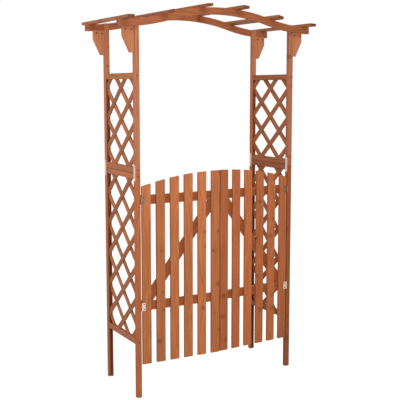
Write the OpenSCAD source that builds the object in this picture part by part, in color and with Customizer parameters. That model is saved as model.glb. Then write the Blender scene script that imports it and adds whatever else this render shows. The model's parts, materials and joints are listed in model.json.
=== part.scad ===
// Garden arch of stained fir: two trellis sides, a pair of arched beams that
// carry six roof slats, and a two-leaf picket gate hung between the front
// posts. Millimetres, +Z up. The origin is on the ground at the middle of the
// plan; +X runs along the beams and the gate is on the -Y side.

/* [Frame] */
// Width over the outer faces of the posts
frame_w = 962; // [780:1:1200]
// Depth over the outer faces of the posts
frame_d = 382; // [300:1:480]
// Side of the square posts
post_w = 26; // [21.5:0.5:31]
// Length of a lower post, from the ground to the joint at mid height
lower_post_h = 1159; // [965:1:1400]
// Length of an upper post, from the joint to the top
upper_post_h = 760; // [630:1:930]
// Flat that is planed off every long corner
eased_edge = 1.5; // [0.5:0.1:2.5]
// The same flat on the boards of the gate and the roof
board_ease = 1; // [0.5:0.1:1.5]

/* [Side panels] */
// Height of every panel rail
rail_h = 30; // [24:1:36]
// Thickness of every panel rail
rail_t = 22; // [18:0.5:24]
// Height of the underside of the bottom rail above the ground
bottom_rail_z = 277; // [190:1:340]
// Height of the underside of the top rail above the joint in the posts
top_rail_rise = 468; // [380:1:570]
// Depth of the groove that holds the lattice
groove_d = 8; // [6:0.5:10]
// Play between the lattice and each wall of its groove
groove_play = 0.25; // [0.1:0.05:0.5]
// Play between the side ends of the lattice and the floor of the groove
end_play = 1.5; // [0.5:0.5:3]
// Width of a lattice strip
strip_w = 28; // [22:0.5:34]
// Thickness of a lattice strip
strip_t = 5; // [4:0.1:6]
// Depth by which crossing strips are pressed into each other
strip_bite = 0.5; // [0.2:0.1:1]
// Distance across a panel from one crossing to the next in the same row
pitch_y = 175; // [145:1:210]
// Distance up the upper panel from one crossing to the next in the same column
pitch_z = 160; // [132:1:192]
// The same distance in the lower panel
pitch_z_low = 166; // [138:1:200]
// Drop from the upper edge of the upper lattice to its first middle crossing
first_crossing = 49; // [40:1:59]
// The same drop in the lower lattice
first_crossing_low = 108; // [90:1:130]

/* [Arched beams] */
// Length by which a beam runs past the outer face of a post
beam_overhang = 95; // [75:1:115]
// Depth of a beam, from its upper edge to its lower edge
beam_h = 36.5; // [29:0.5:44]
// Thickness of a beam
beam_t = 15; // [12:0.5:20]
// Height of the crown above the ends
beam_rise = 79; // [65:1:96]
// Length of the hollow curve at each end of a beam
beam_hollow = 265; // [215:1:320]

/* [Roof slats] */
// Width of a roof slat
slat_w = 38; // [30:1:46]
// Thickness of a roof slat
slat_t = 15; // [12:0.5:18]
// Length by which a slat runs past the outer face of a beam
slat_overhang = 80; // [60:1:100]
// Distance from the end of a beam to the middle of its outermost slat
slat_end = 34; // [25:1:44]
// Depth of the flat seat planed into a beam under each slat
slat_seat = 0.5; // [0.3:0.1:1]

/* [Brackets] */
// Reach of a bracket from the face of its post
bracket_reach = 61; // [50:1:74]
// Height of a bracket
bracket_h = 128; // [105:1:154]
// Height of its short upright outer edge
bracket_edge = 48; // [39:1:58]
// Width of its short level lower edge
bracket_foot = 22; // [18:1:27]
// Thickness of a bracket
bracket_t = 14; // [11:0.5:17]
// Gap between the top of a bracket and the lower edge of the beam, at the post
bracket_gap = 1; // [0.5:0.5:3]

/* [Gate] */
// Height of the lower end of the pickets above the ground
gate_bottom = 173; // [140:1:210]
// Height of the pickets' curved tops at the middle of the gate
gate_crown = 1154; // [1120:1:1385]
// Radius of the curve that the tops of the pickets follow
gate_curve = 1650; // [1370:10:2000]
// Width of a picket
picket_w = 49; // [40:1:58]
// Thickness of a picket
picket_t = 12; // [10:0.5:15]
// Gap between the outer picket and the gate post, which takes the hinges
hinge_gap = 6.5; // [6.5:0.5:9]
// Gap between the two leaves
meeting_gap = 8; // [5:0.5:9.5]
// Height of a gate rail
gate_rail_h = 48; // [39:1:58]
// Thickness of the gate rails and braces
gate_rail_t = 12; // [10:0.5:15]
// Height of the underside of the lower gate rail above the pickets' lower end
gate_low_rail = 278; // [225:1:334]
// Height of the underside of the upper gate rail above the lower one
gate_rail_rise = 548; // [458:1:590]
// Width of a brace
brace_w = 50; // [42:1:60]
// Distance from the side of a leaf to the end of its brace's middle line
brace_end = 30; // [24:1:36]
// Angle by which the left leaf stands open
left_ajar = 3; // [0:0.5:90]
// Angle by which the right leaf stands open
right_ajar = 2.5; // [0:0.5:90]

/* [Hinges] */
// Height of a hinge
hinge_h = 42; // [35:1:51]
// Width of each hinge leaf
hinge_leaf_w = 15; // [12:0.5:18]
// Thickness of the sheet that a hinge leaf is made of
hinge_sheet = 1.5; // [1:0.1:2]
// Radius of the barrel
barrel_r = 3; // [2.5:0.1:3.2]
// Radius of the pin
pin_r = 1.5; // [1.2:0.1:1.8]
// Running clearance round the pin
pin_play = 0.05; // [0.02:0.01:0.1]
// Gap between neighbouring knuckles
knuckle_gap = 0.4; // [0.2:0.1:0.8]

/* [Joint plates] */
// Width of a plate that ties an upper post to a lower one
plate_w = 17; // [14:0.5:20]
// Height of such a plate
plate_h = 80; // [66:1:96]
// Thickness of such a plate
plate_t = 2; // [1.5:0.1:2.5]

/* [Hidden] */

FRONT = -1;
BACK = 1;
LEFT = -1;
RIGHT = 1;

round_faces = 48;
arch_faces = 360;
curve_steps = 14;
cut_past = 1;
lap = 1;

post_x = frame_w / 2 - post_w / 2;
post_y = frame_d / 2 - post_w / 2;
post_top = lower_post_h + upper_post_h;
panel_len = frame_d - 2 * post_w;

lattice_t = 2 * strip_t - strip_bite;
groove_w = lattice_t + 2 * groove_play;
lattice_len = panel_len + 2 * (groove_d - end_play);
low_lattice_z = bottom_rail_z + rail_h - groove_d;
low_lattice_top = lower_post_h - rail_h;
up_lattice_z = lower_post_h + rail_h - groove_d;
up_lattice_top = lower_post_h + top_rail_rise;

beam_half = frame_w / 2 + beam_overhang;
beam_turn = 2 * atan(beam_rise / beam_half);
crown_r = (beam_half - beam_hollow) / sin(beam_turn);
hollow_r = beam_hollow / sin(beam_turn);
beam_end_z = post_top - hollow_r * (1 - cos(asin((beam_half - post_x) / hollow_r)));
beam_crown_z = beam_end_z + beam_rise;

slat_count = 6;
slat_len = frame_d + 2 * (beam_t + slat_overhang);
slat_step = 2 * (beam_half - slat_end) / (slat_count - 1);

bracket_top = post_top - beam_h - bracket_gap;

picket_count = 6;
opening_w = frame_w - 2 * post_w;
leaf_w = (opening_w - meeting_gap) / 2 - hinge_gap;
picket_step = (leaf_w - picket_w) / (picket_count - 1);
front_face = -frame_d / 2;
low_rail_z = gate_bottom + gate_low_rail;
up_rail_z = low_rail_z + gate_rail_rise;
leaf_x = meeting_gap / 2;

pin_x = opening_w / 2 - hinge_gap / 2;
pin_y = front_face - barrel_r;
knuckle_h = (hinge_h - 2 * knuckle_gap) / 3;
web_gap = 0.5;

light_wood = "#c07a55";
front_wood = "#b8693e";
shaded_wood = "#a45c35";
zinc = "#c9ccd0";

// A bar along X, with its four long corners eased. It is centred in Y and Z.
module eased_bar(length, width, height, ease = eased_edge) {
    w = width / 2;
    h = height / 2;
    rotate([90, 0, 90])
        linear_extrude(length, center = true)
            polygon([
                [-w + ease, -h], [w - ease, -h], [w, -h + ease], [w, h - ease],
                [w - ease, h], [-w + ease, h], [-w, h - ease], [-w, -h + ease]
            ]);
}

// The same bar standing on Z = 0.
module eased_post(height) {
    translate([0, 0, height / 2])
        rotate([0, 90, 0])
            eased_bar(height, post_w, post_w);
}

// Cuts the lattice groove into the inner face of the post at the given corner.
module post_groove(end, height) {
    translate([-groove_w / 2,
               end == BACK ? -post_w / 2 - cut_past : post_w / 2 - groove_d,
               -cut_past])
        cube([groove_w, groove_d + cut_past, height + cut_past]);
}

module lower_post(side, end) {
    color(front_wood)
        translate([side * post_x, end * post_y, 0])
            difference() {
                eased_post(lower_post_h);
                post_groove(end, lower_post_h + cut_past);
            }
}

module upper_post(side, end) {
    color(light_wood)
        translate([side * post_x, end * post_y, lower_post_h])
            difference() {
                eased_post(upper_post_h);
                post_groove(end, top_rail_rise + rail_h / 2);
            }
}

// A rail between the posts of one side. The groove is in its upper face when
// groove_up is true, and in its lower face otherwise.
module panel_rail(side, z, groove_up) {
    color(shaded_wood)
        translate([side * post_x, 0, z + rail_h / 2])
            difference() {
                rotate([0, 0, 90])
                    eased_bar(panel_len, rail_t, rail_h);
                translate([-groove_w / 2, -panel_len / 2 - cut_past,
                           groove_up ? rail_h / 2 - groove_d : -rail_h / 2 - cut_past])
                    cube([groove_w, panel_len + 2 * cut_past, groove_d + cut_past]);
            }
}

// Strips of one direction, lean = 1 or -1, as one layer seen along X. Each
// passes through the middle column at cross_z plus a whole number of pitches.
module lattice_layer(lean, z0, z1, cross_z, pitch) {
    slope = pitch / pitch_y;
    reach = lattice_len / 2 * slope;
    first = ceil((z0 - reach + strip_w - cross_z) / pitch);
    last = floor((z1 + reach - strip_w - cross_z) / pitch);
    for (i = [first:last])
        translate([0, cross_z + i * pitch])
            rotate(lean * atan(slope))
                square([2 * lattice_len, strip_w], center = true);
}

module lattice(side, z0, z1, cross_z, pitch) {
    color(shaded_wood)
        translate([side * post_x, 0, 0])
            for (lean = [-1, 1])
                translate([lean < 0 ? -lattice_t / 2 : lattice_t / 2 - strip_t, 0, 0])
                    rotate([90, 0, 90])
                        linear_extrude(strip_t)
                            intersection() {
                                lattice_layer(lean, z0, z1, cross_z, pitch);
                                translate([-lattice_len / 2, z0])
                                    square([lattice_len, z1 - z0]);
                            }
}

module lower_lattice(side) {
    lattice(side, low_lattice_z, low_lattice_top + groove_d - end_play,
            low_lattice_top - first_crossing_low, pitch_z_low);
}

module upper_lattice(side) {
    lattice(side, up_lattice_z, up_lattice_top + groove_d - end_play,
            up_lattice_top - first_crossing, pitch_z);
}

// Flat plates on both X faces of the two posts of one side, over the joint.
module joint_plates(side) {
    color(zinc)
        for (end = [FRONT, BACK], face = [-1, 1])
            translate([side * post_x + face * (post_w + plate_t) / 2, end * post_y, lower_post_h])
                cube([plate_t, plate_w, plate_h], center = true);
}

// Gusset boards on the outer face of the two posts of one side.
module brackets(side) {
    color(front_wood)
        for (end = [FRONT, BACK])
            translate([side * frame_w / 2, end * post_y, bracket_top])
                mirror([side == LEFT ? 1 : 0, 0, 0])
                    rotate([90, 0, 0])
                        linear_extrude(bracket_t, center = true)
                            polygon([
                                [0, 0], [bracket_reach, 0], [bracket_reach, -bracket_edge],
                                [bracket_foot, -bracket_h], [0, -bracket_h]
                            ]);
}

// Upper edge of a beam as points from left to right, moved down by the given
// distance square to the curve: a hollow curve, the crown, a hollow curve.
function hollow_point(side, turn, down) =
    [side * (beam_half - (hollow_r + down) * sin(turn)),
     beam_end_z + hollow_r - (hollow_r + down) * cos(turn)];

function crown_point(turn, down) =
    [(crown_r - down) * sin(turn),
     beam_crown_z - crown_r + (crown_r - down) * cos(turn)];

function beam_edge(down) = concat(
    [for (i = [0:curve_steps]) hollow_point(LEFT, beam_turn * i / curve_steps, down)],
    [for (i = [1:2 * curve_steps - 1])
        crown_point(beam_turn * (i / curve_steps - 1), down)],
    [for (i = [curve_steps:-1:0]) hollow_point(RIGHT, beam_turn * i / curve_steps, down)]
);

function reversed(list) = [for (i = [len(list) - 1:-1:0]) list[i]];

// Height and slope of the upper edge of a beam at x.
function edge_turn(x) = abs(x) < beam_half - beam_hollow
    ? asin(x / crown_r)
    : sign(x) * asin((beam_half - abs(x)) / hollow_r);

function edge_z(x) = abs(x) < beam_half - beam_hollow
    ? beam_crown_z - crown_r * (1 - cos(edge_turn(x)))
    : beam_end_z + hollow_r * (1 - cos(edge_turn(x)));

module beam(end) {
    color(front_wood)
        difference() {
            translate([0, end * (frame_d + beam_t) / 2, 0])
                rotate([90, 0, 0])
                    linear_extrude(beam_t, center = true)
                        polygon(concat(beam_edge(0), reversed(beam_edge(beam_h))));
            for (i = [1:slat_count])
                slat_body(i);
        }
}

// Slat number i, counted from the left, lying on both beams square to the curve.
module slat_body(i) {
    x = (i - (slat_count + 1) / 2) * slat_step;
    translate([x, 0, edge_z(x)])
        rotate([0, edge_turn(x), 0])
            translate([0, 0, slat_t / 2 - slat_seat])
                rotate([0, 0, 90])
                    eased_bar(slat_len, slat_w, slat_t, board_ease);
}

module roof_slat(i) {
    color(shaded_wood)
        slat_body(i);
}

// Everything of the gate is written for the right side, and mirrored for the
// left one.
module on_side(side) {
    mirror([side == LEFT ? 1 : 0, 0, 0])
        children();
}

// A closed leaf, swung open about its hinge pins by its own angle.
module leaf(side) {
    on_side(side)
        translate([pin_x, pin_y, 0])
            rotate([0, 0, side == LEFT ? left_ajar : right_ajar])
                translate([-pin_x, -pin_y, 0])
                    children();
}

module gate_pickets(side) {
    color(front_wood)
        leaf(side)
            intersection() {
                for (i = [0:picket_count - 1])
                    translate([leaf_x + picket_w / 2 + i * picket_step,
                               front_face + picket_t / 2,
                               (gate_bottom + gate_crown) / 2])
                        rotate([0, 90, 0])
                            rotate([90, 0, 0])
                                eased_bar(gate_crown - gate_bottom, picket_w, picket_t, board_ease);
                translate([0, front_face + picket_t / 2, gate_crown - gate_curve])
                    rotate([90, 0, 0])
                        cylinder(h = 2 * picket_t, r = gate_curve, center = true,
                                 $fn = arch_faces);
            }
}

module gate_rail(side, z) {
    color(shaded_wood)
        leaf(side)
            translate([leaf_x + leaf_w / 2, front_face + picket_t + gate_rail_t / 2,
                       z + gate_rail_h / 2])
                eased_bar(leaf_w, gate_rail_t, gate_rail_h, board_ease);
}

// The brace rises from the hinge side of the lower rail to the meeting side of
// the upper one, and its ends are cut level so that they bear on both rails.
module gate_brace(side) {
    rise = gate_rail_rise - gate_rail_h;
    lean = atan2(rise, leaf_w - 2 * brace_end);
    color(shaded_wood)
        leaf(side)
            translate([leaf_x, front_face + picket_t + gate_rail_t, low_rail_z + gate_rail_h])
                rotate([90, 0, 0])
                    linear_extrude(gate_rail_t)
                        intersection() {
                            square([leaf_w, rise]);
                            translate([leaf_w / 2, rise / 2])
                                rotate(-lean)
                                    square([2 * leaf_w + rise, brace_w], center = true);
                        }
}

// Lower ends of the two hinges of a leaf, each centred on its gate rail.
hinge_z = [for (z = [low_rail_z, up_rail_z]) z + (gate_rail_h - hinge_h) / 2];

// Two knuckles with the pin, and the leaf on the inner face of the gate post.
module post_hinge_leaves(side) {
    color(zinc)
        on_side(side)
            for (z = hinge_z)
                translate([pin_x, pin_y, z]) {
                    cylinder(h = hinge_h, r = pin_r, $fn = round_faces);
                    for (k = [0, 2])
                        translate([0, 0, k * (knuckle_h + knuckle_gap)]) {
                            cylinder(h = knuckle_h, r = barrel_r, $fn = round_faces);
                            translate([hinge_gap / 2 - hinge_sheet, 0, 0])
                                cube([hinge_sheet, barrel_r + web_gap + lap, knuckle_h]);
                        }
                    translate([hinge_gap / 2 - hinge_sheet, barrel_r + web_gap, 0])
                        cube([hinge_sheet, hinge_leaf_w, hinge_h]);
                }
}

// The middle knuckle, and the leaf on the face of the outer picket.
module gate_hinge_leaves(side) {
    color(zinc)
        leaf(side)
            for (z = hinge_z)
                translate([pin_x, pin_y, z]) {
                    translate([0, 0, knuckle_h + knuckle_gap])
                        difference() {
                            union() {
                                cylinder(h = knuckle_h, r = barrel_r, $fn = round_faces);
                                translate([-hinge_gap / 2 - lap, barrel_r - hinge_sheet, 0])
                                    cube([hinge_gap / 2 + lap, hinge_sheet, knuckle_h]);
                            }
                            translate([0, 0, -cut_past])
                                cylinder(h = knuckle_h + 2 * cut_past, r = pin_r + pin_play,
                                         $fn = round_faces);
                        }
                    translate([-hinge_gap / 2 - hinge_leaf_w, barrel_r - hinge_sheet, 0])
                        cube([hinge_leaf_w, hinge_sheet, hinge_h]);
                }
}

lower_post(LEFT, FRONT);  // lower_post_front_left
lower_post(LEFT, BACK);  // lower_post_back_left
lower_post(RIGHT, FRONT);  // lower_post_front_right
lower_post(RIGHT, BACK);  // lower_post_back_right
upper_post(LEFT, FRONT);  // upper_post_front_left
upper_post(LEFT, BACK);  // upper_post_back_left
upper_post(RIGHT, FRONT);  // upper_post_front_right
upper_post(RIGHT, BACK);  // upper_post_back_right
panel_rail(LEFT, bottom_rail_z, true);  // bottom_rail_left
panel_rail(RIGHT, bottom_rail_z, true);  // bottom_rail_right
panel_rail(LEFT, low_lattice_top, false);  // lower_panel_top_rail_left
panel_rail(RIGHT, low_lattice_top, false);  // lower_panel_top_rail_right
panel_rail(LEFT, lower_post_h, true);  // upper_panel_bottom_rail_left
panel_rail(RIGHT, lower_post_h, true);  // upper_panel_bottom_rail_right
panel_rail(LEFT, up_lattice_top, false);  // top_rail_left
panel_rail(RIGHT, up_lattice_top, false);  // top_rail_right
lower_lattice(LEFT);  // lower_lattice_left
lower_lattice(RIGHT);  // lower_lattice_right
upper_lattice(LEFT);  // upper_lattice_left
upper_lattice(RIGHT);  // upper_lattice_right
joint_plates(LEFT);  // joint_plates_left
joint_plates(RIGHT);  // joint_plates_right
brackets(LEFT);  // brackets_left
brackets(RIGHT);  // brackets_right
beam(FRONT);  // front_beam
beam(BACK);  // back_beam
roof_slat(1);  // roof_slat_1
roof_slat(2);  // roof_slat_2
roof_slat(3);  // roof_slat_3
roof_slat(4);  // roof_slat_4
roof_slat(5);  // roof_slat_5
roof_slat(6);  // roof_slat_6
post_hinge_leaves(LEFT);  // post_hinge_leaves_left
post_hinge_leaves(RIGHT);  // post_hinge_leaves_right
gate_pickets(LEFT);  // gate_left_pickets
gate_rail(LEFT, up_rail_z);  // gate_left_top_rail
gate_rail(LEFT, low_rail_z);  // gate_left_bottom_rail
gate_brace(LEFT);  // gate_left_brace
gate_hinge_leaves(LEFT);  // gate_left_hinge_leaves
gate_pickets(RIGHT);  // gate_right_pickets
gate_rail(RIGHT, up_rail_z);  // gate_right_top_rail
gate_rail(RIGHT, low_rail_z);  // gate_right_bottom_rail
gate_brace(RIGHT);  // gate_right_brace
gate_hinge_leaves(RIGHT);  // gate_right_hinge_leaves
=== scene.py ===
import json
import logging
import math
from collections.abc import Callable, Iterable
from dataclasses import dataclass, field
from enum import Enum
from functools import partial
from typing import ClassVar

import bmesh
import bpy
from bmesh.types import BMEdge, BMesh, BMVert
from bpy.types import Material, Mesh, NodeTree, World
from bpy.types import NodeSocket as Socket
from mathutils import Matrix, Vector


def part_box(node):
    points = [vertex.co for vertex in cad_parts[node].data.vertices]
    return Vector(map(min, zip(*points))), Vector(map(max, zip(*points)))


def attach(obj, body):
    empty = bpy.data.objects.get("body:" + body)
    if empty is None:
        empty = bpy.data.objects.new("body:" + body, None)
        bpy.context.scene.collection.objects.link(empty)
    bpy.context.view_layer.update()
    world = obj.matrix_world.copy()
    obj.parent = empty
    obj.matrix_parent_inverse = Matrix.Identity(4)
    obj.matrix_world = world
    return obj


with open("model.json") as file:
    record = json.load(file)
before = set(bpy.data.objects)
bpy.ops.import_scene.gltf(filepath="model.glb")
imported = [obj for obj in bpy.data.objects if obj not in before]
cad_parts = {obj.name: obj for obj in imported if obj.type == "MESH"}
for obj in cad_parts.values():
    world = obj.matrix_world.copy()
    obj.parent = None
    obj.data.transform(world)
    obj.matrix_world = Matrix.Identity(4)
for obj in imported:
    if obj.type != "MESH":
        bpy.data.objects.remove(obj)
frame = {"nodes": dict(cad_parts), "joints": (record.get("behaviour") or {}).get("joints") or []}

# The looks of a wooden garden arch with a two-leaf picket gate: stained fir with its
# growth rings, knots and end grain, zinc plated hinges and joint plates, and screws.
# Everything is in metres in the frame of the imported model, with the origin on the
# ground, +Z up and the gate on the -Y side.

LOG = logging.getLogger("garden_arch")
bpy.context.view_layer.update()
MM = 0.001
X = Vector((1, 0, 0))
Y = Vector((0, 1, 0))
Z = Vector((0, 0, 1))
Adder = Callable[..., Socket]
Pair = tuple[float, float]
Triple = tuple[float, float, float]
# A Mix node's inputs and outputs share their names, so they go by number.
FACTOR, VECTOR_A, VECTOR_B, COLOUR_A, COLOUR_B = 0, 4, 5, 6, 7
VECTORS = {"data_type": "VECTOR", "output": 1}
COLOURS = {"data_type": "RGBA", "output": 2}
# A Map Range node takes a value, the range it comes from and the range it goes to.
SMOOTH = {"interpolation_type": "SMOOTHSTEP"}
# The range in which nearly all of a noise lies.
NOISE_RANGE = (0.3, 0.7)


class Part(Enum):
    """One of two like parts of the arch, with the sign of the axis that it lies on."""

    @property
    def word(self) -> str:
        """The part's word in the names of the nodes."""
        return self.name.lower()


class Side(Part):
    """The two sides of the arch, as seen from the gate."""

    LEFT = -1
    RIGHT = 1


class End(Part):
    """The two ends of a side panel."""

    FRONT = -1
    BACK = 1


def linear(colour: str) -> tuple[float, float, float, float]:
    """Turns an sRGB colour into the linear values that a shader takes.

    Args:
        colour: The colour as "#RRGGBB".

    Returns:
        Linear red, green and blue, and an alpha of 1.
    """
    parts = [int(colour[i:i + 2], 16) / 255 for i in (1, 3, 5)]
    red, green, blue = (c / 12.92 if c <= 0.04045 else ((c + 0.055) / 1.055) ** 2.4 for c in parts)
    return red, green, blue, 1.0


def add_node(tree: NodeTree, kind: str, inputs: tuple | dict = (), output: int | str = 0,
             **settings: object) -> Socket | None:
    """Adds a node to a tree, with its settings and links.

    Args:
        tree: The tree that the node goes into.
        kind: Blender's name of the node, without "ShaderNode".
        inputs: The value or the linked output of each input, in their order or by name.
        output: Name or number of the output to return.
        settings: Attributes of the node, such as operation="ADD".

    Returns:
        That output, or None from a node that has none.
    """
    node = tree.nodes.new("ShaderNode" + kind)
    for name, value in settings.items():
        setattr(node, name, value)
    for name, value in inputs.items() if isinstance(inputs, dict) else enumerate(inputs):
        if isinstance(value, Socket):
            tree.links.new(value, node.inputs[name])
        else:
            node.inputs[name].default_value = value
    return node.outputs[output] if node.outputs else None


def empty_tree(owner: Material | World) -> Adder:
    """Empties the node tree of a material or of the world.

    Args:
        owner: What the tree belongs to.

    Returns:
        The function that adds a node to it.
    """
    owner.use_nodes = True
    owner.node_tree.nodes.clear()
    return partial(add_node, owner.node_tree)


@dataclass(frozen=True)
class Boards:
    """How the boards of one node lie, so that the grain can run along each.

    Attributes:
        grain: Direction along the boards.
        across: Direction across their broad faces.
        middle: A point on the middle line of board number 0.
        seed: Number that picks the logs that the boards are cut from.
        step: Distance across from one board to the next, or 0 for a single board.
        groove: Side of the board, through its thickness, with a groove along it, or 0 for none.
            Painted shade, with some pooled stain, darkens the groove.
        groove_top: From the middle up to where the groove's painted shade ends, or 0 if it runs on
            to the top.
        seam: From the middle across to the seam with the next piece, or 0 for none. The seam
            gets a line of painted shade.
        shade: Painted light and shade: how light the boards are beside those of the other layer.
    """

    grain: Vector
    across: Vector
    middle: Vector
    seed: float
    step: float = 0.0
    groove: int = 0
    groove_top: float = 0.0
    seam: float = 0.0
    shade: float = 1.0


@dataclass(frozen=True)
class StainedFir:
    """Fir boards, planed and dipped in a thin reddish brown stain.

    The stain lets the growth rings, the knots and the tone of each board show,
    dries semi-matt, and sinks in darker where the end grain drinks it. Grooves and seams
    get painted shade, the grooves with some pooled stain as well.

    Attributes:
        name: Name that the materials start with.
        early: Colour of the soft early wood.
        late: Colour of the hard late wood of each ring.
        knot: Colour of a knot's heart.
        end: Colour of the end grain.
        tone: How much lighter or darker than the mean a board may be.
        rings: How strongly the late wood stands out, from 0 to 1.
        ring: Width of a growth ring, coarser than the real 3 mm so that it shows.
        knots: Share of the knot cells that hold a knot.
        knot_cell: Width and length of a knot cell.
        sheen: Strength of the mirror reflection, 0.5 being that of bare plastic.
        groove: Half the width of the painted shade, with some pooled stain, round a groove,
        how softly it ends, and the distances of the groove's floor and of the face round it
        from the middle.
        roughness: Roughness of the early wood.
        relief: Depth of the grain in the planed surface.
    """

    name: str
    early: str
    late: str
    knot: str = "#7A3A18"
    end: str = "#743A1E"
    tone: float = 0.08
    rings: float = 0.52
    ring: float = 8 * MM
    knots: float = 0.35
    knot_cell: Pair = (140 * MM, 104 * MM)
    roughness: float = 0.58
    relief: float = 0.15 * MM
    sheen: float = 0.28
    groove: tuple[float, float, float, float] = (9.0 * MM, 2.0 * MM, 4.5 * MM, 13.2 * MM)

    # How far apart two boards may lie in their log: across, through and along.
    LOG_SPREAD: ClassVar[Triple] = (0.3, 0.3, 9.0)
    # Nearest place of the log's pith to a board's middle, and how far beyond it may lie.
    PITH: ClassVar[Triple] = (-0.045, 0.012, 0.0)
    PITH_SPREAD: ClassVar[Triple] = (0.09, 0.05, 0.0)
    # Each noise of the grain: its width, its length along the board, and its detail.
    NOISES: ClassVar[dict[str, Triple]] = {
        "drift": (250 * MM, 420 * MM, 1.0),  # the log's taper and sweep
        "wave": (26 * MM, 130 * MM, 1.0),  # wander of a ring
        "blotch": (45 * MM, 190 * MM, 2.0),  # uneven stain
        "streak": (8 * MM, 240 * MM, 2.0),  # pale and dark streaks
        "fibre": (2.2 * MM, 60 * MM, 1.0),  # fibres, 5 times the real ones to show
    }
    # How far the noises and a knot push a ring aside.
    DRIFT: ClassVar[float] = 60 * MM
    WAVE: ClassVar[float] = 6 * MM
    FLOW: ClassVar[float] = 7 * MM
    # Where in a ring's width the late wood sets in, and where it stops.
    SETS_IN: ClassVar[Pair] = (0.25, 0.85)
    STOPS: ClassVar[Pair] = (1.0, 0.88)
    # Least and greatest radius of a knot, as a share of its cell.
    KNOT_RADIUS: ClassVar[Pair] = (0.05, 0.12)
    # Outer and inner edge, in radii, of a knot's heart and of the wood that flows round it.
    HEART: ClassVar[Pair] = (1.25, 0.35)
    HALO: ClassVar[Pair] = (2.2, 0.8)
    # How strongly each mask but the late wood's draws its colour, the painted shade of
    # grooves and seams among them.
    SHARES: ClassVar[dict[str, float]] = {"halo": 0.50, "core": 0.62, "end": 1.0, "soaked": 0.90}
    # How far each noise swings the tone of a board.
    SWINGS: ClassVar[dict[str, float]] = {"streak": 0.70, "blotch": 0.40, "fibre": 0.30}
    # How far the streaks swing the roughness.
    ROUGHNESS_SWING: ClassVar[float] = 0.06
    # How squarely a face looks along the board before it counts as a sawn end.
    SAWN: ClassVar[Pair] = (0.75, 0.95)

    def material(self, node: str, *layers: Boards, split: float = 0.0) -> Material:
        """Makes the material of one node.

        Args:
            node: Name of the node.
            layers: How its boards lie, or those of its two crossing layers.
            split: The X that parts the two layers.

        Returns:
            The material.
        """
        material = bpy.data.materials.new(f"{self.name}, {node}")
        add = empty_tree(material)
        source = add("TexCoord", output="Object")
        place, chance, end = self._lay(add, source, layers[0])
        if len(layers) > 1:
            beyond = self._layer_mask(add, source, split)
            other_place, other_chance, _ = self._lay(add, source, layers[1])
            place, chance = (add("Mix", {FACTOR: beyond, VECTOR_A: near, VECTOR_B: far}, **VECTORS)
                             for near, far in ((place, other_place), (chance, other_chance)))
        slid = add("VectorMath", (chance, self.LOG_SPREAD, place), operation="MULTIPLY_ADD")
        noise = self._noises(add, slid)
        core, halo = self._knot_masks(add, slid)
        late = self._late_wood(add, place, chance, noise, halo)
        masks = {"late": late, "halo": halo, "core": core, "end": end}
        # Painted shade in a groove, with some pooled stain, or along a seam with the next rail.
        if layers[0].seam or layers[0].groove:
            masks["soaked"] = self._soaked_mask(add, place, layers[0])
        colour = self._colour(add, chance, noise, masks)
        # Painted light and shade: one layer of strips lighter than the other.
        if len(layers) > 1:
            shade = add("MapRange", (beyond, 0, 1, layers[0].shade, layers[1].shade))
            colour = add("VectorMath", {0: colour, "Scale": shade}, operation="SCALE")
        height = late
        for raised in (noise["fibre"], core):
            height = add("Math", (raised, height), operation="ADD")
        bump = add("Bump", {"Strength": 1.0, "Distance": self.relief, "Height": height})
        least, most = self.roughness - self.ROUGHNESS_SWING, self.roughness + self.ROUGHNESS_SWING
        roughness = add("MapRange", (noise["streak"], *NOISE_RANGE, least, most))
        shader = add("BsdfPrincipled", {"Base Color": colour, "Roughness": roughness,
                                        "Normal": bump, "Specular IOR Level": self.sheen})
        add("OutputMaterial", {"Surface": shader})
        return material

    def _layer_mask(self, add: Adder, source: Socket, split: float) -> Socket:
        """Adds the mask of the second of two layers of strips.

        A face in the split itself belongs to the layer below it, so the place is
        taken a little way under the surface.

        Args:
            add: Adds a node.
            source: The point in the object.
            split: The X that parts the two layers.

        Returns:
            0 in the first layer and 1 in the second.
        """
        x = add("SeparateXYZ", (source,))
        facing = add("SeparateXYZ", (source.node.outputs["Normal"],))
        under = add("Math", (facing, -1 * MM, x), operation="MULTIPLY_ADD")
        return add("Math", (under, split), operation="GREATER_THAN")

    def _lay(self, add: Adder, source: Socket, boards: Boards) -> tuple[Socket, ...]:
        """Brings a point of the object onto its own board.

        Args:
            add: Adds a node.
            source: The point in the object.
            boards: How the boards lie.

        Returns:
            The place on the board (across, through, along), three chances that
            are its own, and 1 on its sawn ends.
        """
        # Brings across, thickness and grain onto X, Y and Z.
        matrix = Matrix((boards.across, boards.grain.cross(boards.across), boards.grain))
        turn = matrix.to_euler()
        place = add("Mapping",
                    {"Vector": source, "Rotation": turn, "Location": -(matrix @ boards.middle)})
        normal = source.node.outputs["Normal"]
        facing = add("Mapping", {"Vector": normal, "Rotation": turn}, vector_type="VECTOR")
        along = add("SeparateXYZ", (facing,), "Z")
        square = add("Math", (along,), operation="ABSOLUTE")
        end = add("MapRange", (square, *self.SAWN), **SMOOTH)
        number = boards.seed
        if boards.step:
            across = add("SeparateXYZ", (place,))
            steps = add("Math", (across, boards.step), operation="DIVIDE")
            whole = add("Math", (steps,), operation="ROUND")
            far = add("CombineXYZ", (whole,))
            place = add("VectorMath", (far, (-boards.step, 0, 0), place), operation="MULTIPLY_ADD")
            number = add("Math", (whole, boards.seed), operation="ADD")
        chance = add("TexWhiteNoise", {"W": number}, "Color", noise_dimensions="1D")
        return place, chance, end

    def _noises(self, add: Adder, slid: Socket) -> dict[str, Socket]:
        """Adds the noises of the grain, each stretched along the board.

        Args:
            add: Adds a node.
            slid: Place in the log that the board is cut from.

        Returns:
            Each noise by name.
        """
        noise = {}
        for name, (width, length, detail) in self.NOISES.items():
            scale = (1 / width, 1 / width, 1 / length)
            scaled = add("VectorMath", (slid, scale), operation="MULTIPLY")
            noise[name] = add("TexNoise", {"Vector": scaled, "Scale": 1.0, "Detail": detail})
        return noise

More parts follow.
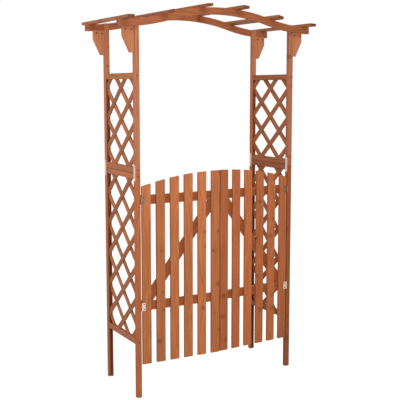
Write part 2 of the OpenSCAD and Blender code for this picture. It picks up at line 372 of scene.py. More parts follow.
    def _knot_masks(self, add: Adder, slid: Socket) -> tuple[Socket, ...]:
        """Adds the knots, spread over cells of which some hold one.

        Args:
            add: Adds a node.
            slid: Place in the log.

        Returns:
            The mask of the knots' hearts, and that of the wood that flows round.
        """
        width, length = self.knot_cell
        parts = add("SeparateXYZ", (slid,)).node
        flat = add("CombineXYZ", (parts.outputs["X"], parts.outputs["Z"]))
        cells = add("VectorMath", (flat, (1 / width, 1 / length, 0)), operation="MULTIPLY")
        voronoi = add("TexVoronoi", {"Vector": cells, "Scale": 1.0, "Randomness": 0.7},
                      voronoi_dimensions="2D").node
        chance = add("SeparateColor", (voronoi.outputs["Color"],)).node
        here = add("Math", (chance.outputs[0], self.knots), operation="LESS_THAN")
        radius = add("MapRange", (chance.outputs[1], 0, 1, *self.KNOT_RADIUS))
        ratio = add("Math", (voronoi.outputs["Distance"], radius), operation="DIVIDE")
        masks = []
        for edges in (self.HEART, self.HALO):
            mask = add("MapRange", (ratio, *edges), **SMOOTH)
            masks.append(add("Math", (mask, here), operation="MULTIPLY"))
        return tuple(masks)

    def _soaked_mask(self, add: Adder, place: Socket, boards: Boards) -> Socket:
        """Adds the mask of painted shade, with some pooled stain, in the groove or at the seam.

        Args:
            add: Adds a node.
            place: Place on the board.
            boards: How the boards lie.

        Returns:
            1 in the groove or at the seam and 0 elsewhere.
        """
        parts = add("SeparateXYZ", (place,)).node
        if boards.seam:
            far = add("Math", (parts.outputs["X"], boards.seam), operation="DIVIDE")
            return add("Math", (far, 1.0), operation="GREATER_THAN")
        half, fade, floor, brim = self.groove
        across = add("Math", (parts.outputs["X"],), operation="ABSOLUTE")
        near = add("MapRange", (across, half + fade, half), **SMOOTH)
        if boards.groove_top:
            below = add("Math", (parts.outputs["Z"], boards.groove_top), operation="LESS_THAN")
            near = add("Math", (near, below), operation="MULTIPLY")
        through = add("Math", (parts.outputs["Y"], boards.groove), operation="MULTIPLY")
        middle, reach = (floor + brim) / 2, (brim - floor) / 2
        deep = add("Math", (through, middle, reach), operation="COMPARE")
        return add("Math", (near, deep), operation="MULTIPLY")

    def _late_wood(self, add: Adder, place: Socket, chance: Socket, noise: dict[str, Socket],
                   halo: Socket) -> Socket:
        """Adds the growth rings round the log's pith, which lies beside the board.

        Args:
            add: Adds a node.
            place: Place on the board.
            chance: The board's own chances.
            noise: The noises of the grain.
            halo: Mask of the wood that flows round a knot.

        Returns:
            0 in early wood, rising to 1 in late wood.
        """
        pith = add("VectorMath", (chance, self.PITH_SPREAD, self.PITH), operation="MULTIPLY_ADD")
        section = add("VectorMath", (place, (1, 1, 0), pith), operation="MULTIPLY_ADD")
        radius = add("VectorMath", (section,), "Value", operation="LENGTH")
        for shift, depth in ((noise["drift"], self.DRIFT), (noise["wave"], self.WAVE),
                             (halo, self.FLOW)):
            radius = add("Math", (shift, depth, radius), operation="MULTIPLY_ADD")
        turns = add("Math", (radius, self.ring), operation="DIVIDE")
        phase = add("Math", (turns,), operation="FRACT")
        rise, fall = (add("MapRange", (phase, *edges), **SMOOTH)
                      for edges in (self.SETS_IN, self.STOPS))
        return add("Math", (rise, fall), operation="MULTIPLY")

    def _colour(self, add: Adder, chance: Socket, noise: dict[str, Socket],
                masks: dict[str, Socket]) -> Socket:
        """Mixes the colour of the stained wood.

        Args:
            add: Adds a node.
            chance: The board's own chances.
            noise: The noises of the grain.
            masks: Where each coat of colour lies, in their order.

        Returns:
            The colour.
        """
        # The painted shade of grooves and seams takes the end grain's colour.
        tints = {"late": self.late, "halo": self.late, "core": self.knot, "end": self.end,
                 "soaked": self.end}
        colour = linear(self.early)
        for name, mask in masks.items():
            share = self.SHARES.get(name, self.rings)
            factor = add("Math", (mask, share), operation="MULTIPLY")
            colour = add("Mix", {FACTOR: factor, COLOUR_A: colour,
                                 COLOUR_B: linear(tints[name])}, **COLOURS)
        level = add("SeparateXYZ", (chance,), "Y")
        light = add("MapRange", (level, 0, 1, 1 - self.tone, 1 + self.tone))
        for name, depth in self.SWINGS.items():
            swing = add("Math", (noise[name], 0.5), operation="SUBTRACT")
            light = add("Math", (swing, depth, light), operation="MULTIPLY_ADD")
        return add("VectorMath", {0: colour, "Scale": light}, operation="SCALE")


@dataclass(frozen=True)
class Steel:
    """Sheet steel or a screw under a thin plating.

    Bright zinc gives a pale, faintly mottled mirror that handling has dulled, and
    a black phosphate coat a dull dark grey.

    Attributes:
        name: Name of the material.
        colour: Colour of the plating.
        roughness: Its roughness.
        mottle: Size of the spangles, drawn at twice the real one so that they show.
        dull: Colour where the plating has gone dull, or nothing.
        dull_above: Height above which it has.
        grit: Depth of the grit under the plating.
    """

    name: str
    colour: str
    roughness: float
    mottle: float = 6 * MM
    dull: str = ""
    dull_above: float = 0.0
    grit: float = 0.02 * MM

    # Tones of the plating between the spangles and on them.
    TONES: ClassVar[Pair] = (0.86, 1.06)
    # How far the spangles swing the roughness.
    ROUGHNESS_SWING: ClassVar[float] = 0.08

    def material(self) -> Material:
        """Makes the material.

        Returns:
            The material.
        """
        material = bpy.data.materials.new(self.name)
        add = empty_tree(material)
        source = add("TexCoord", output="Object")
        cloud, grit = (add("TexNoise", {"Vector": source, "Scale": 1 / size, "Detail": detail})
                       for size, detail in ((self.mottle, 3.0), (self.mottle / 8, 1.0)))
        ends = (self.roughness + self.ROUGHNESS_SWING, self.roughness - self.ROUGHNESS_SWING)
        light, roughness = (add("MapRange", (cloud, *NOISE_RANGE, *goal))
                            for goal in (self.TONES, ends))
        plating = linear(self.colour)
        if self.dull:
            height = add("SeparateXYZ", (source,), "Z")
            high = add("Math", (height, self.dull_above), operation="GREATER_THAN")
            plating = add("Mix", {FACTOR: high, COLOUR_A: plating, COLOUR_B: linear(self.dull)},
                          **COLOURS)
        colour = add("Mix", {FACTOR: 1.0, COLOUR_A: plating, COLOUR_B: light},
                     blend_type="MULTIPLY", **COLOURS)
        bump = add("Bump", {"Strength": 1.0, "Distance": self.grit, "Height": grit})
        shader = add("BsdfPrincipled", {"Base Color": colour, "Metallic": 1.0,
                                        "Roughness": roughness, "Normal": bump})
        add("OutputMaterial", {"Surface": shader})
        return material


LOWER_POST_FIR = StainedFir("Stained fir, lower post", "#B56434", "#994E23")
DULL_POST_FIR = StainedFir("Dull stained fir, lower post", "#A9693D", "#8E522A")
DARK_POST_FIR = StainedFir("Dark stained fir, lower post", "#9F5329", "#87431C")
# Lighter than the lower posts: painted light from above.
LIT_UPPER_POST_FIR = StainedFir("Stained fir, upper post", "#B7704D", "#A05937")
RAIL_FIR = StainedFir("Stained fir, rail", "#B16A41", "#95522D")
LATTICE_FIR = StainedFir("Stained fir, sawn strip", "#B26C42", "#93522E", knots=0.2,
                         roughness=0.66, relief=0.25 * MM)
ROOF_FIR = StainedFir("Stained fir, beam", "#A85F37", "#8C4926")
SLAT_FIR = StainedFir("Stained fir, slat", "#A66741", "#894F2F")
# Rail colour darkened as painted shade, for the right panel's inner faces.
SHADED_RAIL_FIR = StainedFir("Dark stained fir, rail", "#9E5F38", "#834926")
# The lightest fir: painted light from above.
LIT_BRACKET_FIR = StainedFir("Stained fir, bracket", "#C37B52", "#A8623A")
PICKET_FIR = StainedFir("Stained fir, picket", "#B86C3E", "#9D552A", tone=0.12, knots=0.42)
# Picket colour darkened as painted shade of the light's falloff, for the right leaf.
SHADED_PICKET_FIR = StainedFir("Dark stained fir, picket", "#B56639", "#9A5126", tone=0.12,
                             knots=0.42)
BACKING_FIR = StainedFir("Stained fir, gate rail", "#995229", "#7F401A")
BRIGHT_ZINC = Steel("Bright zinc on steel", "#D3BFAE", 0.42)
DULL_ZINC = Steel("Dull zinc on steel", "#A08874", 0.5)
HINGE_ZINC = Steel("Zinc on hinges", "#D3BFAE", 0.42, dull="#806C5D", dull_above=0.75)
BROWNED_STEEL = Steel("Browned steel", "#5E4433", 0.5)
BLACK_PHOSPHATE = Steel("Black phosphate on steel", "#4A423C", 0.5)


def dress(name: str, material: Material, edge: float = 0.4 * MM) -> None:
    """Gives a CAD node its material and its worn edges.

    Its loose triangles are welded first, so that the rounding finds the sharp edges.

    Args:
        name: Name of the node.
        material: Its material.
        edge: Width of the rounding of its edges.
    """
    node = frame["nodes"][name]
    node.data.materials.clear()
    node.data.materials.append(material)
    weld = node.modifiers.new("weld", "WELD")
    weld.merge_threshold = 0.01 * MM
    bevel = node.modifiers.new("worn edges", "BEVEL")
    bevel.width = edge
    bevel.segments = 2
    bevel.limit_method = "ANGLE"
    bevel.angle_limit = math.radians(30)
    LOG.info("dressed %s with %s", name, material.name)


def middle_of(name: str) -> Vector:
    """Middle of the box of a CAD node at rest."""
    low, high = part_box(name)
    return (low + high) / 2


def post_name(part: str, end: End, side: Side) -> str:
    """Name of a post's node, where part is lower or upper."""
    return f"{part}_post_{end.word}_{side.word}"


def upward_face(name: str) -> tuple[Vector, Vector]:
    """Finds the face of a node that looks up.

    Args:
        name: Name of the node.

    Returns:
        The face's middle and its normal.
    """
    flat = math.cos(math.radians(25))
    faces = [p for p in frame["nodes"][name].data.polygons if p.normal.z > flat]
    area = sum(p.area for p in faces)
    middle = sum((p.center * p.area for p in faces), Vector()) / area
    normal = sum((p.normal * p.area for p in faces), Vector()).normalized()
    return middle, normal


@dataclass(frozen=True)
class Screw:
    """A cross-recess screw, of which only the head shows.

    Attributes:
        finish: Its plating.
        head: Radius of the head.
        rise: Height of the head above the surface.
        arm: Length of an arm of the recess.
        slot: Half the width of the recess.
        depth: Depth of the recess.
        hollow: Radius of the flat dark ring round the head, painted shade where the
        countersink would be, or 0 for none.
        sunk: How far the head runs on under the surface.
        segments: Number of sides of the head.
    """

    finish: Steel
    head: float = 3.6 * MM
    rise: float = 0.5 * MM
    arm: float = 2.0 * MM
    slot: float = 0.5 * MM
    depth: float = 0.4 * MM
    hollow: float = 0.0
    sunk: float = 1.0 * MM
    segments: int = 20

    # Width of the recess at its floor and of the ring of painted shade at its top, as shares.
    RECESS_TAPER: ClassVar[float] = 0.6
    HOLLOW_TAPER: ClassVar[float] = 0.93
    # Steps down the head's side: shares of the rise and of the part sunk, and the scale.
    STEPS: ClassVar[tuple[Triple, ...]] = ((0.6, 0.0, 1.08), (0.4, 1.0, 0.8))
    # How far the ring of painted shade stands over the surface.
    RING: ClassVar[float] = 0.15 * MM
    # Turn from one screw to the next, so that no two recesses line up.
    SPIN: ClassVar[float] = math.radians(137.5)

    def shape(self) -> Mesh:
        """Makes one head, looking up +Z with the surface at Z = 0.

        Returns:
            The mesh. Its first material is the plating and its second the painted shade of the
            countersink.
        """
        bm = bmesh.new()
        bmesh.ops.create_circle(bm, radius=self.head, segments=self.segments)
        rim = list(bm.edges)
        corners = [(self.arm, self.slot), (self.slot, self.slot), (self.slot, self.arm)]
        outline = []
        for quarter in range(4):
            turn = Matrix.Rotation(quarter * math.pi / 2, 3, "Z")
            outline += [bm.verts.new(turn @ Vector((x, y, 0))) for x, y in corners]
        cross = [bm.edges.new((a, b)) for a, b in zip(outline, outline[1:] + outline[:1])]
        bmesh.ops.triangle_fill(bm, edges=rim + cross, use_beauty=True, normal=Z)
        floor = self._pull_down(bm, cross, self.depth, self.RECESS_TAPER)
        bmesh.ops.triangle_fill(bm, edges=floor, use_beauty=True, normal=Z)
        bmesh.ops.translate(bm, vec=Z * self.rise, verts=bm.verts)
        edges = rim
        for rise, sunk, scale in self.STEPS:
            edges = self._pull_down(bm, edges, rise * self.rise + sunk * self.sunk, scale)
        bmesh.ops.contextual_create(bm, geom=edges)
        if self.hollow:
            self._countersink(bm)
        bmesh.ops.recalc_face_normals(bm, faces=bm.faces)
        mesh = bpy.data.meshes.new("screw head")
        bm.to_mesh(mesh)
        bm.free()
        return mesh

    @staticmethod
    def _pull_down(bm: BMesh, edges: list[BMEdge], drop: float, scale: float) -> list[BMEdge]:
        """Extrudes a ring of edges down and scales it about the head's axis.

        Args:
            bm: The mesh of the head.
            edges: The ring.
            drop: How far down.
            scale: Its new size as a share of the old one.

        Returns:
            The edges of the new ring.
        """
        wall = bmesh.ops.extrude_edge_only(bm, edges=edges)["geom"]
        verts = [part for part in wall if isinstance(part, BMVert)]
        bmesh.ops.scale(bm, vec=(scale, scale, 1), verts=verts)
        bmesh.ops.translate(bm, vec=-Z * drop, verts=verts)
        return [part for part in wall if isinstance(part, BMEdge)
                and all(vert in verts for vert in part.verts)]

    def _countersink(self, bm: BMesh) -> None:
        """Adds a flat dark ring of painted shade where the countersink would be.

        Args:
            bm: The mesh of the head.
        """
        before = set(bm.faces)
        bmesh.ops.create_cone(bm, cap_ends=True, radius1=self.hollow,
                              radius2=self.hollow * self.HOLLOW_TAPER, depth=2 * self.RING,
                              segments=self.segments)
        for face in set(bm.faces) - before:
            face.material_index = 1

    def drive(self, name: str, places: Iterable[tuple[Vector, Vector]], body: str = "arch") -> None:
        """Drives screws in at the given places, as one piece.

        Args:
            name: Name of the piece.
            places: Point on the surface and the direction that each head looks in.
            body: Body that the screws ride on.
        """
        head = self.shape()
        bm = bmesh.new()
        for count, (point, normal) in enumerate(places):
            first = len(bm.verts)
            bm.from_mesh(head)
            bm.verts.ensure_lookup_table()
            spin = Matrix.Rotation(count * self.SPIN, 4, "Z")
            aim = Z.rotation_difference(normal).to_matrix().to_4x4()
            matrix = Matrix.Translation(point) @ aim @ spin
            bmesh.ops.transform(bm, matrix=matrix, verts=bm.verts[first:])
        mesh = bpy.data.meshes.new(name)
        bm.to_mesh(mesh)
        bm.free()
        piece = bpy.data.objects.new(name, mesh)
        bpy.context.scene.collection.objects.link(piece)
        mesh.materials.append(self.finish.material())
        if self.hollow:
            mesh.materials.append(bored_wood())
        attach(piece, body)
        LOG.info("drove %s: %d screws", name, count + 1)


def bored_wood() -> Material:
    """Makes the material of the ring round a sunk screw: dark brown painted shade of the
    countersink.

    Returns:
        The material.
    """
    material = bpy.data.materials.new("Bored fir, soaked with stain")
    add = empty_tree(material)
    source = add("TexCoord", output="Object")
    fuzz = add("TexNoise", {"Vector": source, "Scale": 1 / (2 * MM), "Detail": 2.0})
    # Dark browns that paint the shade inside the countersink.
    colour = add("Mix", {FACTOR: fuzz, COLOUR_A: linear("#3A1B0D"), COLOUR_B: linear("#5E2F18")},
                 **COLOURS)
    shader = add("BsdfPrincipled", {"Base Color": colour, "Roughness": 0.85})
    add("OutputMaterial", {"Surface": shader})
    return material


# Sunk screws get a flat ring of painted shade round the head for the countersink.
SUNK_SCREW = Screw(BROWNED_STEEL, head=3.4 * MM, hollow=4.6 * MM)
BACK_SCREW = Screw(BRIGHT_ZINC, head=3.4 * MM)
POST_SCREW = Screw(DULL_ZINC, head=3.0 * MM, arm=1.7 * MM)
PLATE_SCREW = Screw(BRIGHT_ZINC, head=3.0 * MM, rise=1.3 * MM, depth=1.0 * MM, arm=1.6 * MM)
HINGE_SCREW = Screw(BLACK_PHOSPHATE, head=2.8 * MM, rise=0.3 * MM, depth=0.25 * MM, arm=1.5 * MM)


@dataclass
class SidePanel:
    """One side of the arch: four posts, four rails, two lattices and the joint plates.

    Attributes:
        side: Which side it is.
        seed: Number that picks its logs.
        pitch_y: Distance across the panel between crossings of the strips.
        plate_screws: Heights of a joint plate's screws above and below the joint.
        seam: Width of the line of painted shade along an edge that bears on the next rail.
    """

    side: Side
    seed: float
    pitch_y: float = 175 * MM
    plate_screws: tuple[float, ...] = (-30 * MM, -13 * MM, 13 * MM, 30 * MM)
    seam: float = 2.0 * MM

    # The rails, from the ground up, and which edge of one bears on the next: 1 for the upper.
    RAILS: ClassVar[dict[str, int]] = {"bottom_rail": 0, "lower_panel_top_rail": 1,
                                       "upper_panel_bottom_rail": -1, "top_rail": 0}
    # The posts that took the stain unlike the others.
    ODD_POSTS: ClassVar[dict[str, StainedFir]] = {"lower_post_front_right": DARK_POST_FIR,
                                                  "lower_post_back_left": DULL_POST_FIR}
    # Each lattice: the rail above it, the drop from there to the first middle crossing of its
    # strips, and the distance up the panel between crossings.
    LATTICES: ClassVar[dict[str, tuple[str, float, float]]] = {
        "lower": ("lower_panel_top_rail", 108 * MM, 166 * MM),
        "upper": ("top_rail", 49 * MM, 160 * MM),
    }
    # Painted light and shade on the strips that fall and rise towards the back: how light each
    # layer is.
    STRIP_SHADES: ClassVar[dict[Side, Pair]] = {Side.LEFT: (0.87, 1.07), Side.RIGHT: (0.88, 0.94)}
    # Numbers of the first logs of the rails and of the strips.
    RAIL_LOG: ClassVar[int] = 20
    STRIP_LOG: ClassVar[int] = 40

    def build(self) -> None:
        """Dresses the panel's nodes and drives its screws."""
        self._dress_posts()
        self._dress_rails()
        self._dress_lattices()
        self._drive_rail_screws()
        self._fit_plates()

    def _dress_posts(self) -> None:
        """Dresses the four posts."""
        rail_height = middle_of(f"top_rail_{self.side.word}").z
        # The upper posts' colour carries painted light from above.
        for part, fir in (("lower", LOWER_POST_FIR), ("upper", LIT_UPPER_POST_FIR)):
            for end in End:
                name = post_name(part, end, self.side)
                middle = middle_of(name)
                # In an upper post the groove's painted shade stops at the top rail.
                top = rail_height - middle.z if part == "upper" else 0.0
                boards = Boards(Z, X, middle, self.seed + len(name) + end.value,
                                groove=-end.value, groove_top=top)
                dress(name, self.ODD_POSTS.get(name, fir).material(name, boards))

    def _dress_rails(self) -> None:
        """Dresses the four rails."""
        for number, (rail, bears) in enumerate(self.RAILS.items()):
            name = f"{rail}_{self.side.word}"
            low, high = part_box(name)
            # A line of painted shade along the edge that bears on the next rail.
            seam = (high.z - low.z) / 2 - self.seam
            boards = Boards(Y, Z, middle_of(name), self.seed + self.RAIL_LOG + number,
                            seam=seam * bears)
            # The right panel's rails get painted shade.
            fir = RAIL_FIR if self.side is Side.LEFT else SHADED_RAIL_FIR
            dress(name, fir.material(name, boards))

    def _dress_lattices(self) -> None:
        """Dresses the lattices, whose two layers lean opposite ways and get painted light and
        shade.
        """
        for part, (rail, drop, pitch) in self.LATTICES.items():
            name = f"{part}_lattice_{self.side.word}"
            x = middle_of(name).x
            crossing = Vector((x, 0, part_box(f"{rail}_{self.side.word}")[0].z - drop))
            lean = math.atan2(pitch, self.pitch_y)
            layers = []
            for way, shade in zip((-1, 1), self.STRIP_SHADES[self.side]):
                grain = Vector((0, math.cos(lean), way * math.sin(lean)))
                log = self.seed + self.STRIP_LOG * way
                layers.append(Boards(grain, X.cross(grain), crossing, log,
                                     pitch * math.cos(lean), shade=shade))
            dress(name, LATTICE_FIR.material(name, *layers, split=x), edge=0.3 * MM)

    def _drive_rail_screws(self) -> None:
        """Drives a screw through the posts into each end of each rail."""
        places = []
        for rail in self.RAILS:
            middle = middle_of(f"{rail}_{self.side.word}")
            for end in End:
                low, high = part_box(post_name("lower", end, self.side))
                face = low.y if end is End.FRONT else high.y
                places.append((Vector((middle.x, face, middle.z)), Y * end.value))
        SUNK_SCREW.drive(f"panel_screws_{self.side.word}", places)

    def _fit_plates(self) -> None:
        """Dresses the joint plates and drives their screws."""
        name = f"joint_plates_{self.side.word}"
        dress(name, BRIGHT_ZINC.material(), edge=0.25 * MM)
        low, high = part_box(name)
        joint = middle_of(name).z
        places = []
        for end in End:
            y = middle_of(post_name("lower", end, self.side)).y
            places += [(Vector((face, y, joint + rise)), look)
                       for face, look in ((low.x, -X), (high.x, X)) for rise in self.plate_screws]
        PLATE_SCREW.drive(f"plate_screws_{self.side.word}", places)


@dataclass
class Roof:
    """The arched beams, the slats across them and the brackets below.

    Attributes:
        slats: Number of slats.
        bracket_screws: Distances of a bracket's screws from its post.
        bracket_drop: Distance of those screws below the bracket's top.
        beam_drop: Distance of a beam's screws below the post's top.
    """

    slats: int = 6
    bracket_screws: tuple[float, ...] = (13 * MM, 45 * MM)
    bracket_drop: float = 15 * MM
    beam_drop: float = 19 * MM

    # Numbers of the logs.
    LOGS: ClassVar[dict[str, float]] = {"beam": 61.0, "slat": 70.0, "bracket": 90.0}

    def build(self) -> None:
        """Dresses the roof's nodes and drives its screws."""
        self._dress_beams()
        self._dress_slats()
        self._dress_brackets()

    def _dress_beams(self) -> None:
        """Dresses the beams, screwed on through the posts from inside the arch."""
        for end in End:
            name = f"{end.word}_beam"
            boards = Boards(X, Z, middle_of(name), self.LOGS["beam"] + end.value)
            dress(name, ROOF_FIR.material(name, boards))
            places = []
            for side in Side:
                post = post_name("upper", end, side)
                low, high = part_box(post)
                inside = high.y if end is End.FRONT else low.y
                point = Vector((middle_of(post).x, inside, high.z - self.beam_drop))
                places.append((point, -Y * end.value))
            POST_SCREW.drive(f"{end.word}_beam_screws", places)

    def _dress_slats(self) -> None:
        """Dresses the slats and screws each down on both beams."""
        places = []
        beams = [middle_of(f"{end.word}_beam").y for end in End]
        for number in range(1, self.slats + 1):
            name = f"roof_slat_{number}"
            middle, normal = upward_face(name)
            boards = Boards(Y, Y.cross(normal), middle, self.LOGS["slat"] + number)
            dress(name, SLAT_FIR.material(name, boards))
            places += [(Vector((middle.x, y, middle.z)), normal) for y in beams]
        SUNK_SCREW.drive("roof_slat_screws", places)

    def _dress_brackets(self) -> None:
        """Dresses the brackets and drives their screws."""
        for side in Side:
            name = f"brackets_{side.word}"
            low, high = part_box(name)
            inner = low.x if side is Side.RIGHT else high.x
            boards = Boards(Z, Y, Vector((inner, low.y, low.z)), self.LOGS["bracket"] + side.value,
                            (high.y - low.y) / 2)
            # The brackets' colour carries painted light from above.
            dress(name, LIT_BRACKET_FIR.material(name, boards))
            places = []
            for end in End:
                middle = middle_of(post_name("upper", end, side)).y
                face = middle - min(middle - low.y, high.y - middle)
                z = high.z - self.bracket_drop
                places += [(Vector((inner + side.value * reach, face, z)), -Y)
                           for reach in self.bracket_screws]
            SUNK_SCREW.drive(f"bracket_screws_{side.word}", places)


@dataclass
class GateLeaf:
    """One leaf of the gate, with its hinges.

    Places are worked out as if the leaf were the right one and stood closed, then
    turned by the angle at which it stands open, and mirrored for the left leaf.

    Attributes:
        side: Which leaf it is.
        seed: Number that picks its logs.
        pickets: Number of pickets.
        picket_w: Width of a picket.
        brace_end: From the side of the leaf to the end of the brace's middle line.
        rail_screw: Offset of a rail's screws from the middle of a picket, across and up.
        hinge_h: Height of a hinge.
        hinge_screw: Height of a hinge's screws above and below its middle.
        hinge_reach: Distance of those screws from the outer edge of a hinge leaf.
        hinge_sheet: Thickness of a hinge leaf.
        rails: The rails behind the pickets.
        turn: The turn from a closed right leaf to this one.
    """

    side: Side
    seed: float
    pickets: int = 6
    picket_w: float = 49 * MM
    brace_end: float = 30 * MM
    rail_screw: Pair = (11 * MM, 10 * MM)
    hinge_h: float = 42 * MM
    hinge_screw: float = 13 * MM
    hinge_reach: float = 7 * MM
    hinge_sheet: float = 1.5 * MM
    rails: tuple[str, ...] = ("top_rail", "bottom_rail")
    turn: Matrix = field(init=False)

    # Numbers of the brace's log and of the rails' first log.
    BRACE_LOG: ClassVar[int] = 40
    RAIL_LOG: ClassVar[int] = 44

    def __post_init__(self) -> None:
        """Works out the leaf's turn from its joint."""
        joint = next(j for j in frame["joints"] if j["child"] == self.body)
        pin = Matrix.Translation(Vector(joint["pos_m"]))
        ajar = Matrix.Rotation(math.radians(-joint["range_deg"][0]), 4, Vector(joint["axis"]))
        self.turn = pin @ ajar @ pin.inverted() @ Matrix.Scale(self.side.value, 4, X)

    @property
    def body(self) -> str:
        """The leaf's body."""
        return f"gate_{self.side.word}"

    def build(self) -> None:
        """Dresses the leaf's nodes and drives its screws."""
        self._dress_pickets()
        self._dress_backing()
        self._drive_back_screws()
        self._fit_hinges()

    def _aim(self, direction: Vector) -> Vector:
        """Turns a direction of the closed leaf to this leaf."""
        return (self.turn.to_3x3() @ direction).normalized()

    def _closed_box(self, part: str) -> tuple[Vector, Vector]:
        """Finds the box of a part, turned back to the closed right leaf.

        Args:
            part: The part's word in the name of its node.

        Returns:
            The lowest and the highest corner.
        """
        back = self.turn.inverted()
        mesh = frame["nodes"][f"{self.body}_{part}"].data
        columns = list(zip(*(back @ vertex.co for vertex in mesh.vertices)))
        return tuple(Vector([pick(column) for column in columns]) for pick in (min, max))

    def _picket_lines(self) -> list[float]:
        """Finds the middle lines of the closed leaf's pickets.

        Returns:
            The X of each.
        """
        low, high = self._closed_box("pickets")
        step = (high.x - low.x - self.picket_w) / (self.pickets - 1)
        return [low.x + self.picket_w / 2 + step * i for i in range(self.pickets)]

    def _dress_pickets(self) -> None:
        """Dresses the pickets."""
        name = f"{self.body}_pickets"
        low, high = self._closed_box("pickets")
        lines = self._picket_lines()
        middle = self.turn @ Vector((lines[0], (low.y + high.y) / 2, low.z))
        boards = Boards(Z, self._aim(X), middle, self.seed, lines[1] - lines[0])
        # The right leaf's pickets get painted shade.
        fir = PICKET_FIR if self.side is Side.LEFT else SHADED_PICKET_FIR
        dress(name, fir.material(name, boards))

    def _dress_backing(self) -> None:
        """Dresses the two rails and the brace."""
        for number, part in enumerate(self.rails):
            name = f"{self.body}_{part}"
            low, high = self._closed_box(part)
            middle = self.turn @ ((low + high) / 2)
            boards = Boards(self._aim(X), Z, middle, self.seed + self.RAIL_LOG + number)
            dress(name, BACKING_FIR.material(name, boards))
        name = f"{self.body}_brace"
        low, high = self._closed_box("brace")
        rise = (high.z - low.z) / (high.x - low.x - 2 * self.brace_end)
        grain = self._aim(Vector((-1, 0, rise)))
        middle = self.turn @ ((low + high) / 2)
        boards = Boards(grain, grain.cross(self._aim(Y)), middle, self.seed + self.BRACE_LOG)
        dress(name, BACKING_FIR.material(name, boards))

    def _drive_back_screws(self) -> None:
        """Drives the screws that hold the pickets, from behind."""
        across, up = self.rail_screw
        closed = []
        for part in self.rails:
            low, high = self._closed_box(part)
            middle = (low.z + high.z) / 2
            closed += [(x + way * across, high.y, middle + way * up)
                       for x in self._picket_lines() for way in (-1, 1)]
        low, high = self._closed_box("brace")
        run = high.x - low.x - 2 * self.brace_end
        for x in self._picket_lines()[1:-1]:
            share = (high.x - self.brace_end - x) / run
            closed.append((x, high.y, low.z + share * (high.z - low.z)))
        places = [(self.turn @ Vector(point), self._aim(Y)) for point in closed]
        BACK_SCREW.drive(f"{self.body}_back_screws", places, self.body)

    def _fit_hinges(self) -> None:
        """Dresses both hinge leaves and drives their screws."""
        low, high = self._closed_box("hinge_leaves")
        middles = (low.z + self.hinge_h / 2, high.z - self.hinge_h / 2)
        heights = [middle + way * self.hinge_screw for middle in middles for way in (-1, 1)]
        for name in (f"{self.body}_hinge_leaves", f"post_hinge_leaves_{self.side.word}"):
            dress(name, HINGE_ZINC.material(), edge=0.2 * MM)
        x = low.x + self.hinge_reach
        y = self._closed_box("pickets")[0].y - self.hinge_sheet
        places = [(self.turn @ Vector((x, y, z)), self._aim(-Y)) for z in heights]
        HINGE_SCREW.drive(f"{self.body}_hinge_screws", places, self.body)
        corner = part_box("post_hinge_leaves_right")[1]
        face = corner - Vector((self.hinge_sheet, self.hinge_reach, 0))
        sign = self.side.value
        places = [(Vector((sign * face.x, face.y, z)), -X * sign) for z in heights]
        HINGE_SCREW.drive(f"post_hinge_screws_{self.side.word}", places, "arch")


@dataclass(frozen=True)
class SoftBox:
    """A soft box that lights the arch and that no camera sees.

    Attributes:
        name: Its name.
        at: Where it stands.
        to: The point that it faces.
        size: Its width and height.
        power: Its power in watts.
    """

    name: str
    at: Triple
    to: Triple
    size: Pair
    power: float

    def hang(self) -> None:
        """Hangs the lamp."""
        data = bpy.data.lights.new(self.name, "AREA")
        data.energy = self.power
        data.shape = "RECTANGLE"
        data.size, data.size_y = self.size
        lamp = bpy.data.objects.new(self.name, data)
        lamp.location = self.at
        away = Vector(self.at) - Vector(self.to)
        lamp.rotation_euler = away.to_track_quat("Z", "Y").to_euler()
        lamp.visible_camera = False
        bpy.context.scene.collection.objects.link(lamp)


LAMPS = (
    SoftBox("key", (-1.0, -3.0, 1.45), (0.0, 0.0, 0.95), (1.4, 1.6), 60.0),
    SoftBox("side", (-1.6, 0.1, 1.3), (-0.48, 0.0, 1.1), (0.5, 1.8), 8.0),
    SoftBox("top", (-0.7, -1.3, 3.4), (0.0, 0.0, 1.7), (1.4, 0.7), 16.0),
    SoftBox("back", (1.3, 3.2, 1.9), (0.0, 0.0, 1.0), (1.6, 1.6), 34.0),
    SoftBox("right", (3.3, -0.3, 1.6), (0.0, 0.0, 1.0), (1.4, 1.4), 26.0),
)


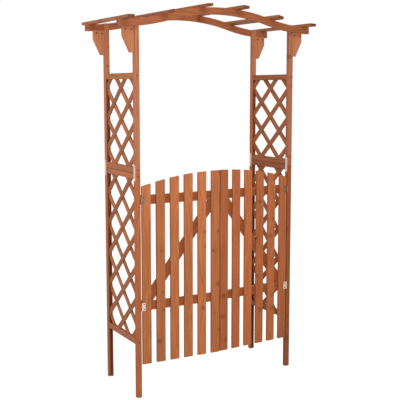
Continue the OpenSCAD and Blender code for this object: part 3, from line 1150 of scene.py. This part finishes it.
@dataclass
class Studio:
    """A white studio: the floor, the lamps and the camera.

    Attributes:
        camera_at: Where the camera stands.
        camera_turn: Its turn about X and Z, in degrees.
        lens: Focal length on a sensor 36 mm wide, in millimetres.
        shift: Upward shift of the frame, as a share of its width.
        floor_size: Length of the floor's side.
        ambient: Brightness of the walls and ceiling for the light on the object.
        floor_tint: Colour of the floor for the light that it throws back.
        shadow: Share of the floor's whiteness that the object's shadow takes away.
        glow: Brightness of the rest of its whiteness.
    """

    camera_at: Triple = (-2.1777, -3.7115, 1.5776)
    camera_turn: Pair = (83.41, -30.414)
    lens: float = 71.05
    shift: float = -0.05
    floor_size: float = 40.0
    ambient: float = 0.45
    floor_tint: str = "#7A7672"
    shadow: float = 0.25
    glow: float = 1.2

    def build(self) -> None:
        """Builds the floor, the lamps, the world and the camera."""
        self._lay_floor()
        self._light()
        self._stand_camera()
        bpy.context.scene.view_settings.view_transform = "Standard"
        LOG.info("built the studio")

    def _seen(self, add: Adder) -> Socket:
        """Adds the mask of what the camera sees, straight or in metal.

        Args:
            add: Adds a node.

        Returns:
            1 for camera, glossy and transmission rays.
        """
        path = add("LightPath").node
        seen = path.outputs["Is Camera Ray"]
        for other in ("Is Glossy Ray", "Is Transmission Ray"):
            seen = add("Math", (seen, path.outputs[other]), operation="MAXIMUM")
        return seen

    def _lay_floor(self) -> None:
        """Lays a floor that looks white and keeps a faint shadow."""
        bm = bmesh.new()
        bmesh.ops.create_grid(bm, x_segments=1, y_segments=1, size=self.floor_size / 2)
        mesh = bpy.data.meshes.new("floor")
        bm.to_mesh(mesh)
        bm.free()
        floor = bpy.data.objects.new("floor", mesh)
        bpy.context.scene.collection.objects.link(floor)
        material = bpy.data.materials.new("White studio floor")
        add = empty_tree(material)
        matt = add("BsdfDiffuse", {"Color": (1, 1, 1, 1)})
        glow = add("Emission", {"Color": (1, 1, 1, 1), "Strength": self.glow})
        white = add("MixShader", (1 - self.shadow, matt, glow))
        grey = add("BsdfDiffuse", {"Color": linear(self.floor_tint)})
        shader = add("MixShader", (self._seen(add), grey, white))
        add("OutputMaterial", {"Surface": shader})
        mesh.materials.append(material)

    def _light(self) -> None:
        """Hangs the lamps in front of a white world."""
        for lamp in LAMPS:
            lamp.hang()
        world = bpy.data.worlds.new("studio")
        bpy.context.scene.world = world
        add = empty_tree(world)
        strength = add("MapRange", (self._seen(add), 0, 1, self.ambient, 1.0))
        sky = add("Background", {"Color": (1, 1, 1, 1), "Strength": strength})
        add("OutputWorld", {"Surface": sky})

    def _stand_camera(self) -> None:
        """Stands the camera where the gate is seen from the front left."""
        data = bpy.data.cameras.new("camera")
        data.lens = self.lens
        data.shift_y = self.shift
        camera = bpy.data.objects.new("camera", data)
        camera.location = self.camera_at
        tilt, turn = self.camera_turn
        camera.rotation_euler = (math.radians(tilt), 0, math.radians(turn))
        bpy.context.scene.collection.objects.link(camera)
        bpy.context.scene.camera = camera


# First logs of the side panels, and of the leaves, whose pickets' tones come from them.
PANEL_LOGS = {Side.LEFT: 100.0, Side.RIGHT: 200.0}
LEAF_LOGS = {Side.LEFT: 4614.0, Side.RIGHT: 13089.0}


def main() -> None:
    """Builds the arch's looks and its studio."""
    logging.basicConfig(level=logging.INFO, format="%(name)s: %(message)s")
    Studio().build()
    for side, log in PANEL_LOGS.items():
        SidePanel(side, log).build()
    Roof().build()
    for side, log in LEAF_LOGS.items():
        GateLeaf(side, log).build()


if __name__ == "__main__":
    main()
